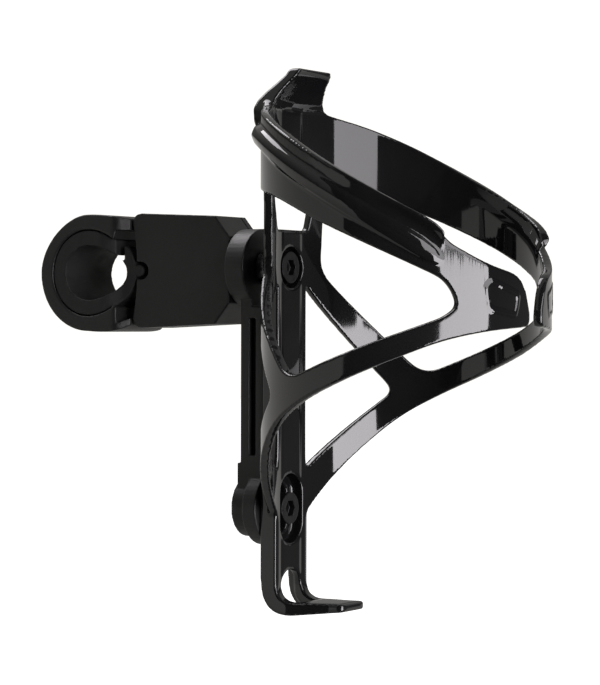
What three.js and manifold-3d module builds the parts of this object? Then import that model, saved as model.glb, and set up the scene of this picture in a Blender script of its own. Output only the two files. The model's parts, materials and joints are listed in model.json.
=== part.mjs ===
// A bottle cage on a handlebar clamp: a moulded cage, a dog-bone adapter arm, and a clamp block that
// turns on the upper cage bolt and grips the bar with a draw band and a rubber insert.
// Millimetres. The bar's centre line is the Y axis, +X points to the bottle and +Z is up.

import * as THREE from "three";
import { mergeVertices } from "three/addons/utils/BufferGeometryUtils.js";
import Module from "manifold-3d";

const wasm = await Module();
wasm.setup();

// ---------------------------------------------------------------- driving dimensions

const GAP = 0.3; // clearance between pieces that touch or slide
const RUN_FIT = 0.2; // radial clearance of a screw in its hole

// Cage
const BAR_TO_SPINE = 59.6; // bar centre to the front face of the spine
const PIVOT_ABOVE_BAR = 1.1; // the upper cage bolt, which is the pivot, above the bar's centre
const BOLT_PITCH = 64; // upper to lower cage bolt
const CAGE_BORE_R = 35.2; // inner radius of the empty cage
const CAGE_WALL = 2.4;
const SPINE_PROUD = 0.5; // spine face stands inside the bore
const SPINE_WIDTH = 14.2;
const SPINE_WIDTH_LOW = 16; // at the lower bolt and the foot
const SPINE_WEB = 2.3; // front wall of the channel section
const SPINE_DEPTH = 4.9;
const SPINE_FLANGE = 2; // side walls of the channel behind the spine
const SPINE_TOP = 10; // above the upper bolt
const PANEL_TOP = 41.5; // raised panel above the back window
const FOOT_BELOW_BOLT = 28.2; // underside of the foot below the lower bolt
const FOOT_REACH = 19.4; // foot tip in front of the spine face
const FOOT_TIP_WIDTH = 12;
const FOOT_TIP_THICKNESS = 2.2;
const FOOT_THICKNESS = 3.9; // at its root
const RIB_HEIGHT = 2.9;
const RIB_WIDTH = 6.4;
const TAB_TOP = 52;
const TAB_LEAN = 7.7;
const LIP_FLARE = 2.1; // the band's lip stands this far outside the wall at its front peaks
const LIP_DEPTH = 6.4;
const SLOT_LENGTH = 18.3; // lower bolt's slotted counterbore
const COUNTERBORE_D = 10.8;

// Fasteners
const BOLT_D = 5;
const BOLT_HEAD_D = 8.5;
const BOLT_HEAD_H = 2.6;
const BOLT_SEAT = 3.3; // head seat behind the spine face
const BOLT_HEX = 4;
const BOLT_NUT_AF = 8;
const BOLT_NUT_H = 4;
const COVER_SCREW_D = 2.2;
const COVER_HEAD_D = 4.2;

// Adapter arm
const ARM_WIDTH = 12;
const ARM_BACK = 12.4; // arm's rear face behind the spine face
const HEAD_R = 10.4; // pivot disc
const HEAD_BACK = 14.9;
const HEAD_THICKNESS = 5.9;
const FOOT_DISC_R = 10; // lower end of the arm
const NUT_BOSS_R = 8;
const NUT_BOSS_BACK = 14.1;
const GROOVE_DEPTH = 2.2;
const GROOVE_WIDTH = 1.9;
const DISC_THICKNESS = 1; // friction disc between arm and block
const DISC_R = 6.8;

// Clamp block
const BLOCK_WIDTH = 15; // along the bar
const BLOCK_SET_BACK = 1.8; // hollow left face, on the middle line, inside the band's outer radius
const BLOCK_RISE = 0.5; // block's middle line above the bar's centre
const BLOCK_DROP_LEFT = 0.4; // half height less than the band's radius, at the left
const BLOCK_DROP_RIGHT = 1.5;
const BLOCK_CORNER = 3;
const BLOCK_CHAMFER = [4.6, 5.6]; // along X and Z
const SADDLE_R = 60;
const COVER_THICKNESS = 2.2;
const BLOCK_WALL = 2.2;
const NOTCH_R = 2.4;
const NOTCH_DEPTH = 3.8;

// Draw band, draw bar and insert
const BAND_WIDTH = 22;
const BAND_OUTER_R = 16;
const BAND_WALL = 4.1;
const BAND_SECTION_BACK = 4.8; // the band's full section stops this far short of the block
const TONGUE_THICKNESS = 2.2; // the band's arms inside the block
const TONGUE_HALF_WIDTH = 4.7;
const UPPER_TONGUE_DROP = 2.3; // below the band's top
const LOWER_TONGUE_DROP = 4.3; // above its bottom
const HOOK_X = 34.6; // left face of the hooks at the ends of the arms
const HOOK_LENGTH = 2.4;
const HOOK_HEIGHT = 4;
const DRAW_BAR_THICKNESS = 4.6;
const NUT_PROUD = 1.3; // nut standing out of the draw bar
const BOLT_TIP_X = 25.6;
const INSERT_WALL = 4.1;
const INSERT_SIDE = 3; // insert's wall against the block
const INSERT_SLIT = 1.8;
const KEY_R = 1.6;

// ---------------------------------------------------------------- derived places

const SPINE_X = BAR_TO_SPINE;
const SPINE_BACK_X = SPINE_X - SPINE_DEPTH;
const AXIS_X = SPINE_X + CAGE_BORE_R - SPINE_PROUD;
const CAGE_OUTER_R = CAGE_BORE_R + CAGE_WALL;
const LOWER_BOLT_Z = -BOLT_PITCH;
const FOOT_DROP = BOLT_PITCH + FOOT_BELOW_BOLT; // from the upper bolt
const ARM_FRONT_X = SPINE_BACK_X - GAP;
const ARM_BACK_X = SPINE_X - ARM_BACK;
const HEAD_BACK_X = SPINE_X - HEAD_BACK;
const HEAD_FRONT_X = HEAD_BACK_X + HEAD_THICKNESS;
const BLOCK_RIGHT = HEAD_BACK_X - GAP;
const FRICTION_X = HEAD_BACK_X - GAP / 2 - DISC_THICKNESS / 2; // the disc sits half in each piece
const BLOCK_LEFT = BAND_OUTER_R - BLOCK_SET_BACK;
const BLOCK_HALF_LEFT = BAND_OUTER_R - BLOCK_DROP_LEFT;
const BLOCK_HALF_RIGHT = BAND_OUTER_R - BLOCK_DROP_RIGHT;
const BLOCK_CORNER_X = BLOCK_LEFT - SADDLE_R + Math.sqrt(SADDLE_R ** 2 - (BLOCK_HALF_LEFT - BLOCK_CORNER) ** 2);
const BAND_SECTION_END = BLOCK_LEFT - BAND_SECTION_BACK;
const UPPER_TONGUE_TOP = BAND_OUTER_R - UPPER_TONGUE_DROP;
const LOWER_TONGUE_BOTTOM = LOWER_TONGUE_DROP - BAND_OUTER_R;
const NUT_ROOM = BOLT_NUT_AF / Math.sqrt(3) + GAP; // from the bolt's axis to the nut's corners
const COVER_INNER_Y = Math.max(BLOCK_WIDTH / 2 - COVER_THICKNESS, NUT_ROOM);
const BODY_FAR_Y = COVER_INNER_Y - GAP;
const CAVITY_NEAR_Y = -Math.max(BLOCK_WIDTH / 2 - BLOCK_WALL, NUT_ROOM);
const INSERT_OUTER_R = BAND_OUTER_R - BAND_WALL - GAP;
const INSERT_END = BLOCK_LEFT - GAP - 0.1;
const INSERT_BORE_R = INSERT_OUTER_R - INSERT_WALL;
const HOOK_END = HOOK_X + HOOK_LENGTH;
const DRAW_BAR_X = HOOK_X - GAP - DRAW_BAR_THICKNESS;
const PIVOT_NUT_X = DRAW_BAR_X - NUT_PROUD;

const DEG = Math.PI / 180;

// ---------------------------------------------------------------- solids

/** A manifold solid from a closed three.js geometry. */
function solid(geometry) {
  const bare = geometry.index ? geometry.toNonIndexed() : geometry.clone();
  bare.deleteAttribute("normal");
  bare.deleteAttribute("uv");
  const merged = mergeVertices(bare, 1e-4);
  return new wasm.Manifold(
    new wasm.Mesh({
      numProp: 3,
      vertProperties: merged.attributes.position.array,
      triVerts: new Uint32Array(merged.index.array),
    }),
  );
}

/** A three.js geometry from a manifold solid. */
function geometryOf(manifold) {
  const mesh = manifold.getMesh();
  const geometry = new THREE.BufferGeometry();
  geometry.setAttribute("position", new THREE.BufferAttribute(new Float32Array(mesh.vertProperties), 3));
  geometry.setIndex(new THREE.BufferAttribute(new Uint32Array(mesh.triVerts), 1));
  const flat = geometry.toNonIndexed();
  flat.computeVertexNormals();
  return flat;
}

const join = (first, ...others) => others.reduce((sum, other) => sum.add(other), first);
const cut = (first, ...others) => others.reduce((rest, other) => rest.subtract(other), first);

/** A box between two corners. */
function box([x0, y0, z0], [x1, y1, z1]) {
  const geometry = new THREE.BoxGeometry(x1 - x0, y1 - y0, z1 - z0);
  geometry.translate((x0 + x1) / 2, (y0 + y1) / 2, (z0 + z1) / 2);
  return solid(geometry);
}

const TURN = {
  x: new THREE.Matrix4().makeRotationZ(-Math.PI / 2),
  y: new THREE.Matrix4(),
  z: new THREE.Matrix4().makeRotationX(Math.PI / 2),
};

/** A round rod along an axis, from `from` to `to` on that axis, through the point (u, v). */
function rod(axis, radius, from, to, [u, v] = [0, 0], sides = 32, turn = 0) {
  const geometry = new THREE.CylinderGeometry(radius, radius, to - from, sides, 1, false, turn);
  geometry.translate(0, (from + to) / 2, 0);
  geometry.applyMatrix4(TURN[axis]);
  if (axis === "x") geometry.translate(0, u, v);
  if (axis === "y") geometry.translate(u, 0, v);
  if (axis === "z") geometry.translate(u, v, 0);
  return solid(geometry);
}

/** A hexagonal prism along X, `across` its flats, with two of its flats facing up and down. */
function hexRod(across, from, to, z = 0) {
  return rod("x", across / Math.sqrt(3), from, to, [0, z], 6, Math.PI / 6);
}

/** An outline in the XZ plane, extruded along Y between y0 and y1. */
function slabXZ(shape, y0, y1, curveSegments = 12) {
  const geometry = new THREE.ExtrudeGeometry(shape, { depth: y1 - y0, bevelEnabled: false, curveSegments });
  geometry.rotateX(Math.PI / 2);
  geometry.translate(0, y1, 0);
  return solid(geometry);
}

/** An outline in the YZ plane, extruded along X between x0 and x1. */
function slabYZ(shape, x0, x1, curveSegments = 12) {
  const geometry = new THREE.ExtrudeGeometry(shape, { depth: x1 - x0, bevelEnabled: false, curveSegments });
  geometry.applyMatrix4(new THREE.Matrix4().makeBasis(
    new THREE.Vector3(0, 1, 0), new THREE.Vector3(0, 0, 1), new THREE.Vector3(1, 0, 0)));
  geometry.translate(x0, 0, 0);
  return solid(geometry);
}

/** A closed outline through corners [x, y, fillet]; each corner is rounded by its own fillet. */
function filletedShape(corners) {
  const shape = new THREE.Shape();
  const count = corners.length;
  corners.forEach(([x, y, fillet = 0], i) => {
    const corner = new THREE.Vector2(x, y);
    const before = new THREE.Vector2(...corners[(i + count - 1) % count]);
    const after = new THREE.Vector2(...corners[(i + 1) % count]);
    const backLength = before.distanceTo(corner);
    const onLength = after.distanceTo(corner);
    const reach = Math.min(fillet, backLength * 0.49, onLength * 0.49);
    const start = corner.clone().lerp(before, reach / backLength);
    const end = corner.clone().lerp(after, reach / onLength);
    if (i === 0) shape.moveTo(start.x, start.y);
    else shape.lineTo(start.x, start.y);
    if (reach > 0) shape.quadraticCurveTo(x, y, end.x, end.y);
  });
  shape.closePath();
  return shape;
}

/** A straight-sided slot with round ends along Z in the YZ plane. */
function slotShape(halfWidth, z0, z1, y = 0) {
  const shape = new THREE.Shape();
  shape.absarc(y, z1 - halfWidth, halfWidth, 0, Math.PI, false);
  shape.absarc(y, z0 + halfWidth, halfWidth, Math.PI, 2 * Math.PI, false);
  shape.closePath();
  return shape;
}

/** A closed skin over rings of points, each ring with the same count, capped at both ends. */
function loft(rings) {
  const count = rings[0].length;
  const positions = [];
  const triangle = (a, b, c) => positions.push(...a, ...b, ...c);
  rings.slice(1).forEach((ring, r) => {
    const last = rings[r];
    ring.forEach((point, i) => {
      const next = (i + 1) % count;
      triangle(last[i], last[next], ring[next]);
      triangle(last[i], ring[next], point);
    });
  });
  const cap = (ring, flip) => {
    const middle = [0, 1, 2].map((k) => ring.reduce((sum, p) => sum + p[k], 0) / count);
    ring.forEach((point, i) => {
      const next = ring[(i + 1) % count];
      if (flip) triangle(middle, next, point);
      else triangle(middle, point, next);
    });
  };
  cap(rings[0], true);
  cap(rings[rings.length - 1], false);
  const geometry = new THREE.BufferGeometry();
  geometry.setAttribute("position", new THREE.Float32BufferAttribute(positions, 3));
  const made = solid(geometry);
  return made.volume() < 0 ? solid(flipped(geometry)) : made;
}

/** The same geometry with its faces turned round. */
function flipped(geometry) {
  const source = geometry.attributes.position.array;
  const turned = new Float32Array(source.length);
  for (let i = 0; i < source.length; i += 9) {
    turned.set(source.slice(i, i + 3), i);
    turned.set(source.slice(i + 6, i + 9), i + 3);
    turned.set(source.slice(i + 3, i + 6), i + 6);
  }
  const out = new THREE.BufferGeometry();
  out.setAttribute("position", new THREE.BufferAttribute(turned, 3));
  return out;
}

// ---------------------------------------------------------------- cage

// The lattice is drawn unrolled: degrees round the bottle's axis from the front slit, and height above
// the upper bolt. One side is drawn and mirrored.

const FRONT_SLIT = 4.3; // degrees from the middle of the front to the end of each arm
const ARC_STEP = 5; // degrees between points on a straight edge of the unrolled lattice

/** Corners [degrees, height, fillet mm] of one side's outline, from the back over the top to the front. */
const SIDE_OUTLINE = [
  [180.5, 43.5, 0], [160.5, 43.5, 1], [157, 41.5, 3], [137, 38.6, 8], [119, 34, 8], [105, 29.4, 8], [85, 22.4, 8],
  [63, 14.7, 8], [51, 10.4, 2], [44.5, 5.2, 3], [28, -0.2, 8], [9.5, -3, 7], [FRONT_SLIT, -12.5, 2],
  [FRONT_SLIT + 0.6, -15.6, 2.5], [27, -16.6, 8], [46, -18.9, 8], [75, -26, 10], [104, -33.9, 8], [122, -40, 8],
  [143, -50.6, 8], [161, -61, 6], [169.3, -66.4, 3], [170, -70, 0], [180.5, -70, 0],
];
/** The large window between the band, the lower arm and the upper strut. */
const BAND_WINDOW = [
  [158.2, 20.5, 2], [137, 18.7, 6], [121, 16.7, 8], [110, 14.2, 8], [82, 6.4, 8], [45, -4.3, 7], [40, -10.4, 6],
  [46, -13.2, 5], [76, -19.9, 10], [112, -28.8, 5], [135, -15, 8], [160.2, -0.5, 6], [159, 8, 8],
];
/** The arrow window between the two struts and the spine. */
const STRUT_WINDOW = [
  [169.2, -4.2, 1], [147, -18.2, 9], [124.8, -33.2, 3], [150, -45.2, 8], [169.2, -54.2, 1.2],
];

/** A closed prism over an unrolled outline, running radially through the cage's wall. */
function radialPrism(corners, side) {
  const mmPerDegree = CAGE_OUTER_R * DEG;
  const shape = filletedShape(corners.map(([degrees, z, fillet]) => [degrees * mmPerDegree, z, fillet]));
  const drawn = shape.getPoints(5);
  const points = [];
  drawn.forEach((point, i) => {
    const next = drawn[(i + 1) % drawn.length];
    const steps = Math.max(1, Math.ceil(Math.abs(next.x - point.x) / (ARC_STEP * mmPerDegree)));
    for (let k = 0; k < steps; k += 1) points.push(point.clone().lerp(next, k / steps));
  });
  const outline = points.filter((point, i) => point.distanceTo(points[(i + 1) % points.length]) > 1e-3);
  const faces = THREE.ShapeUtils.triangulateShape(outline, []);
  const at = (point, radius) => {
    const angle = (side * point.x) / mmPerDegree * DEG;
    return [AXIS_X + radius * Math.cos(angle), radius * Math.sin(angle), point.y];
  };
  // The walls are split close to the tube on both sides, so that they cross it in smooth lines.
  const radii = [6, CAGE_BORE_R - 1, CAGE_OUTER_R + 1, 160];
  const [inside, outside] = [radii[0], radii[3]];
  const positions = [];
  faces.forEach(([a, b, c]) => {
    positions.push(...at(outline[a], outside), ...at(outline[b], outside), ...at(outline[c], outside));
    positions.push(...at(outline[a], inside), ...at(outline[c], inside), ...at(outline[b], inside));
  });
  outline.forEach((point, i) => {
    const next = outline[(i + 1) % outline.length];
    for (let k = 1; k < radii.length; k += 1) {
      const [near, far] = [radii[k - 1], radii[k]];
      positions.push(...at(point, near), ...at(next, near), ...at(next, far));
      positions.push(...at(point, near), ...at(next, far), ...at(point, far));
    }
  });
  const geometry = new THREE.BufferGeometry();
  geometry.setAttribute("position", new THREE.Float32BufferAttribute(positions, 3));
  const made = solid(geometry);
  return made.volume() < 0 ? solid(flipped(geometry)) : made;
}

/** The thin round wall that the lattice is cut from. */
function cageTube() {
  const low = -74;
  const high = 44;
  const profile = [
    [CAGE_BORE_R, low], [CAGE_OUTER_R, low], [CAGE_OUTER_R, high], [CAGE_BORE_R, high], [CAGE_BORE_R, low],
  ].map(([r, y]) => new THREE.Vector2(r, y));
  const geometry = new THREE.LatheGeometry(profile, 84);
  geometry.rotateX(Math.PI / 2);
  geometry.translate(AXIS_X, 0, 0);
  const made = solid(geometry);
  return made.volume() < 0 ? solid(flipped(geometry)) : made;
}

/** The rib's middle line, unrolled: degrees from the front and height, from its front end to the back. */
const RIB_LINE = new THREE.SplineCurve(
  [[46, 0.2], [75, 11.4], [105, 22.4], [135, 31.8], [158, 34.4], [181, 34.6]].map(
    ([degrees, z]) => new THREE.Vector2(degrees, z)));

/** The swelling along the outside of the band on one side. */
function rib(side) {
  const rings = [];
  const steps = 27;
  for (let i = 0; i <= steps; i += 1) {
    const middle = RIB_LINE.getPoint(i / steps);
    const swell = Math.min(1, 0.15 + Math.sqrt(i / 3));
    const angle = side * middle.x * DEG;
    const ring = [];
    for (let k = 0; k < 8; k += 1) {
      const turn = (k / 8) * 2 * Math.PI;
      const radius = CAGE_OUTER_R - 0.6 + swell * (RIB_HEIGHT + 0.6) * Math.max(-0.3, Math.cos(turn));
      const z = middle.y + (swell * RIB_WIDTH * Math.sin(turn)) / 2;
      ring.push([AXIS_X + radius * Math.cos(angle), radius * Math.sin(angle), z]);
    }
    rings.push(ring);
  }
  return loft(rings);
}

/** The top edge of the band's front part, unrolled: degrees from the front and height, from its peak back. */
const LIP_LINE = new THREE.SplineCurve(
  [[46.4, 7.4], [49, 9.3], [54, 11.5], [63, 14.6], [75, 18.7], [88, 23.4], [102, 28.4]].map(
    ([degrees, z]) => new THREE.Vector2(degrees, z)));

/** The outward flare under the band's top edge on one side, which runs out to a peak at its front. */
function lip(side) {
  const rings = [];
  const steps = 24;
  for (let i = 0; i <= steps; i += 1) {
    const share = i / steps;
    const edge = LIP_LINE.getPoint(share);
    const angle = side * edge.x * DEG;
    const flare = LIP_FLARE * (0.04 + 0.96 * Math.cos((share * Math.PI) / 2));
    const depth = LIP_DEPTH * (0.72 + 0.28 * share);
    const section = [
      [-1.2, -0.3], [-1.2, -depth], [-0.4, -depth - 0.2], [flare * 0.3, -depth * 0.6], [flare, -0.5],
      [flare - 0.2, 0.1],
    ];
    rings.push(section.map(([out, up]) => {
      const radius = CAGE_OUTER_R + out;
      return [AXIS_X + radius * Math.cos(angle), radius * Math.sin(angle), edge.y + up];
    }));
  }
  return loft(rings);
}

/** The leaning tab at the top of the back, which snaps over the bottle's neck groove. */
function topTab() {
  // Levels: share of the height, half width, share of the lean, thickness along X, share of the bore's curve
  const levels = [
    [0, 13.6, 0, 4.4, 1], [0.2, 13.6, 0, 5.8, 1], [0.4, 13.2, 0, 6.1, 1], [0.53, 12.1, 0.12, 5.6, 0.9],
    [0.66, 10.9, 0.36, 4.8, 0.7], [0.78, 9.7, 0.62, 4.1, 0.5], [0.9, 8.6, 0.9, 3.8, 0.3],
    [0.97, 8.1, 0.99, 3.8, 0.2], [1, 7.6, 1, 3.5, 0.2],
  ];
  const base = 34.5;
  const across = 8;
  const rings = levels.map(([rise, halfWidth, lean, thickness, curve]) => {
    const z = base + (TAB_TOP - base) * rise;
    const at = (y, back) => {
      const bow = curve * (CAGE_BORE_R - Math.sqrt(CAGE_BORE_R ** 2 - y * y));
      return [AXIS_X - CAGE_BORE_R + TAB_LEAN * lean + bow - back, y, z];
    };
    const ring = [];
    for (let i = 0; i <= across; i += 1) ring.push(at(halfWidth * ((2 * i) / across - 1), 0));
    for (let i = across; i >= 0; i -= 1) ring.push(at(halfWidth * ((2 * i) / across - 1), thickness));
    return ring;
  });
  return loft(rings);
}

/** The spine with the foot it bends into: a side view swept across, trimmed by its front and top views. */
function spineAndFoot() {
  const bottom = -FOOT_DROP;
  const tipBottom = bottom + 2.1;
  const side = filletedShape([
    [SPINE_X, SPINE_TOP, 0], [SPINE_BACK_X, SPINE_TOP, 0], [SPINE_BACK_X, bottom - 0.6, 10.4],
    [SPINE_X + FOOT_REACH, tipBottom, 0.8], [SPINE_X + FOOT_REACH, tipBottom + FOOT_TIP_THICKNESS, 0.8],
    [SPINE_X, bottom + FOOT_THICKNESS, 5],
  ]);
  const half = SPINE_WIDTH / 2;
  const low = SPINE_WIDTH_LOW / 2;
  const tip = FOOT_TIP_WIDTH / 2;
  const body = slabXZ(side, -low, low, 8);
  const front = slabYZ(filletedShape([
    [-half, SPINE_TOP + 1, 0], [-half, LOWER_BOLT_Z + 16, 4], [-low, LOWER_BOLT_Z + 4, 4], [-low, bottom - 2, 0],
    [low, bottom - 2, 0], [low, LOWER_BOLT_Z + 4, 4], [half, LOWER_BOLT_Z + 16, 4], [half, SPINE_TOP + 1, 0],
  ]), SPINE_BACK_X - 1, SPINE_X + FOOT_REACH + 1, 6);
  const toe = SPINE_X + FOOT_REACH;
  const plan = filletedShape([
    [SPINE_BACK_X - 1, -low - 1, 0], [SPINE_X + 3, -low - 1, 0], [SPINE_X + 3, -low, 0], [toe - 4, -tip, 0],
    [toe, -tip, 5], [toe, tip, 5], [toe - 4, tip, 0], [SPINE_X + 3, low, 0], [SPINE_X + 3, low + 1, 0],
    [SPINE_BACK_X - 1, low + 1, 0],
  ]);
  const length = FOOT_DROP + SPINE_TOP + 10;
  const above = new THREE.ExtrudeGeometry(plan, { depth: length, bevelEnabled: false, curveSegments: 8 });
  above.translate(0, 0, -FOOT_DROP - 5);
  return body.intersect(front).intersect(solid(above));
}

/** The raised panel on the inside of the band, above the back window. */
function upperPanel() {
  const half = SPINE_WIDTH / 2;
  return slabYZ(
    filletedShape([[-half, 18.6, 1], [half, 18.6, 1], [half, PANEL_TOP, 3], [-half, PANEL_TOP, 3]]),
    SPINE_X - CAGE_WALL, SPINE_X, 6);
}

/** Pockets of the channel behind the spine and under the bend, between the pads that carry the bolts. */
function spinePockets() {
  const half = SPINE_WIDTH / 2 - SPINE_FLANGE;
  const back = SPINE_BACK_X - 5;
  const web = SPINE_X - SPINE_WEB;
  const padTop = LOWER_BOLT_Z + SLOT_LENGTH / 2 + 3.2;
  const padBottom = LOWER_BOLT_Z - SLOT_LENGTH / 2 - 2.4;
  const upper = slabYZ(filletedShape([
    [-half, padTop, 1.5], [half, padTop, 1.5], [half, -COUNTERBORE_D / 2 - 2.2, 1.5],
    [-half, -COUNTERBORE_D / 2 - 2.2, 1.5],
  ]), back, web, 4);
  const bend = slabXZ(filletedShape([
    [back, padBottom, 0], [web, padBottom, 0], [web, -FOOT_DROP + FOOT_THICKNESS - SPINE_WEB, 7],
    [SPINE_X + 9, -FOOT_DROP + FOOT_THICKNESS - SPINE_WEB, 0], [SPINE_X + 9, -FOOT_DROP - 5, 0],
    [back, -FOOT_DROP - 5, 0],
  ]), -half - 0.4, half + 0.4, 6);
  return [upper, bend];
}

/** Holes for the two cage bolts: a round one above and a slotted one below. */
function boltHoles() {
  const shank = BOLT_D / 2 + RUN_FIT;
  const slack = (SLOT_LENGTH - COUNTERBORE_D) / 2;
  const head = COUNTERBORE_D / 2;
  const front = SPINE_X + 3;
  const back = SPINE_BACK_X - 5;
  const seat = SPINE_X - BOLT_SEAT;
  return [
    rod("x", shank, back, front),
    rod("x", head, seat, front),
    slabYZ(slotShape(shank, LOWER_BOLT_Z - slack - shank, LOWER_BOLT_Z + slack + shank), back, front, 10),
    slabYZ(slotShape(head, LOWER_BOLT_Z - slack - head, LOWER_BOLT_Z + slack + head), seat, front, 10),
  ];
}

/** The slot through the bend at the bottom of the spine. */
function bendSlot() {
  const shape = slotShape(4.8, -FOOT_DROP - 9, LOWER_BOLT_Z - 16.2);
  return slabYZ(shape, SPINE_BACK_X - 5, SPINE_X + 5.4, 8);
}

/** The window through the back, between the spine and the band, flared to the rear. */
function backWindow() {
  const outline = (x, spread) => [
    [x, -7.4 - spread, SPINE_TOP], [x, 7.4 + spread, SPINE_TOP], [x, 10.5 + spread, 20.7],
    [x, -10.5 - spread, 20.7],
  ];
  return loft([outline(SPINE_X - 10, 2.4), outline(SPINE_X - 0.4, 0), outline(SPINE_X + 6, 0)]);
}

/** A plain raised shield outline near the end of one arm. */
function badge(side) {
  const outer = [[29.5, -5, 1.5], [26, -3.9, 1], [11.2, -7.4, 1], [13.6, -13.6, 1], [28.5, -11.8, 2]];
  const inner = [[27.4, -6, 1], [25.8, -5.1, 0.5], [13.2, -8.2, 0.5], [14.9, -12.2, 0.5], [26.8, -10.8, 1]];
  const low = -16;
  const profile = [
    [CAGE_OUTER_R - 0.4, low], [CAGE_OUTER_R + 0.3, low], [CAGE_OUTER_R + 0.3, 0], [CAGE_OUTER_R - 0.4, 0],
    [CAGE_OUTER_R - 0.4, low],
  ].map(([r, y]) => new THREE.Vector2(r, y));
  const geometry = new THREE.LatheGeometry(profile, 84);
  geometry.rotateX(Math.PI / 2);
  geometry.translate(AXIS_X, 0, 0);
  let shell = solid(geometry);
  if (shell.volume() < 0) shell = solid(flipped(geometry));
  return shell.intersect(radialPrism(outer, side)).subtract(radialPrism(inner, side));
}

function cage() {
  const tube = cageTube();
  const sides = [1, -1].map((side) => {
    const lattice = tube.intersect(radialPrism(SIDE_OUTLINE, side));
    return cut(lattice, radialPrism(BAND_WINDOW, side), radialPrism(STRUT_WINDOW, side));
  });
  const ribs = [1, -1].map(rib);
  const lips = [1, -1].map(lip);
  const badges = [1, -1].map(badge);
  const joined = join(spineAndFoot(), ...sides, ...ribs, ...lips, ...badges, upperPanel(), topTab());
  return cut(joined, ...spinePockets(), backWindow(), bendSlot(), ...boltHoles());
}

// ---------------------------------------------------------------- fasteners

/** A low socket-head bolt along X: its head's front at `front`, its tip at `tip`. */
function cageBolt(z, tip) {
  const seat = SPINE_X - BOLT_SEAT + GAP;
  const front = seat + BOLT_HEAD_H;
  return cut(
    join(rod("x", BOLT_D / 2, tip, seat + 0.1, [0, z]), rod("x", BOLT_HEAD_D / 2, seat, front, [0, z], 40)),
    hexRod(BOLT_HEX, front - 1.7, front + 1, z));
}

/** A hexagon nut along X. */
function hexNut(x0, z) {
  return cut(
    hexRod(BOLT_NUT_AF, x0, x0 + BOLT_NUT_H, z),
    rod("x", BOLT_D / 2 + RUN_FIT, x0 - 1, x0 + BOLT_NUT_H + 1, [0, z]));
}

/** A flat ring along X. */
function ring(outerR, innerR, x0, x1, sides = 40) {
  return cut(rod("x", outerR, x0, x1, [0, 0], sides), rod("x", innerR, x0 - 1, x1 + 1));
}

// ---------------------------------------------------------------- adapter arm

const ARM_NUT_X = SPINE_X - NUT_BOSS_BACK + 1.2; // rear face of the lower nut

function adapterArm() {
  const half = ARM_WIDTH / 2;
  const bar = box([ARM_BACK_X, -half, LOWER_BOLT_Z + 2], [ARM_FRONT_X, half, -2]);
  const head = rod("x", HEAD_R, HEAD_BACK_X, HEAD_FRONT_X, [0, 0], 48);
  const foot = rod("x", FOOT_DISC_R, ARM_BACK_X + 3, ARM_FRONT_X, [0, LOWER_BOLT_Z], 48);
  const boss = rod("x", NUT_BOSS_R, SPINE_X - NUT_BOSS_BACK, ARM_FRONT_X - 1, [0, LOWER_BOLT_Z], 40);
  const shoulder = box([ARM_BACK_X - 1, -half, LOWER_BOLT_Z + 2], [ARM_FRONT_X, half, LOWER_BOLT_Z + 12]);
  const headRoom = box([HEAD_FRONT_X, -half - 1, -HEAD_R], [ARM_FRONT_X + 1, half + 1, HEAD_R]);
  const grooves = [1, -1].map((side) => {
    const outer = side * (half + 1);
    const inner = side * (half - GROOVE_DEPTH);
    const x0 = ARM_BACK_X + 2.7;
    return box([x0, Math.min(outer, inner), LOWER_BOLT_Z + 14], [x0 + GROOVE_WIDTH, Math.max(outer, inner), -13.5]);
  });
  const rearPocket = slabYZ(
    filletedShape([[-half + 2, LOWER_BOLT_Z + 16, 1], [half - 2, LOWER_BOLT_Z + 16, 1], [half - 2, -15, 1],
      [-half + 2, -15, 1]]), ARM_FRONT_X - 2.6, ARM_FRONT_X + 1, 4);
  const body = join(cut(bar, headRoom), head, foot, boss, shoulder);
  const shank = BOLT_D / 2 + RUN_FIT;
  return cut(
    body, ...grooves, rearPocket,
    rod("x", shank, HEAD_BACK_X - 2, ARM_FRONT_X + 2),
    rod("x", shank, SPINE_X - 20, ARM_FRONT_X + 2, [0, LOWER_BOLT_Z]),
    hexRod(BOLT_NUT_AF + 2 * GAP, SPINE_X - NUT_BOSS_BACK - 1, ARM_NUT_X + BOLT_NUT_H + GAP, LOWER_BOLT_Z),
    rod("x", DISC_R + GAP, HEAD_BACK_X - 1, HEAD_BACK_X + DISC_THICKNESS / 2, [0, 0], 48));
}

// ---------------------------------------------------------------- clamp block

/** The block's side view: hollow on the left, tapered, with its right corners cut off. */
function blockShape() {
  const left = BLOCK_HALF_LEFT;
  const right = BLOCK_HALF_RIGHT;
  const middle = BLOCK_RISE;
  const half = left - BLOCK_CORNER;
  const sweep = Math.asin(half / SADDLE_R);
  const shape = new THREE.Shape();
  shape.moveTo(BLOCK_CORNER_X, middle - half);
  shape.quadraticCurveTo(BLOCK_CORNER_X, middle - left, BLOCK_CORNER_X + BLOCK_CORNER, middle - left);
  shape.lineTo(BLOCK_RIGHT - BLOCK_CHAMFER[0], middle - right);
  shape.lineTo(BLOCK_RIGHT, middle - right + BLOCK_CHAMFER[1]);
  shape.lineTo(BLOCK_RIGHT, middle + right - BLOCK_CHAMFER[1]);
  shape.lineTo(BLOCK_RIGHT - BLOCK_CHAMFER[0], middle + right);
  shape.lineTo(BLOCK_CORNER_X + BLOCK_CORNER, middle + left);
  shape.quadraticCurveTo(BLOCK_CORNER_X, middle + left, BLOCK_CORNER_X, middle + half);
  shape.absarc(BLOCK_LEFT - SADDLE_R, middle, SADDLE_R, sweep, -sweep, true);
  return shape;
}

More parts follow.
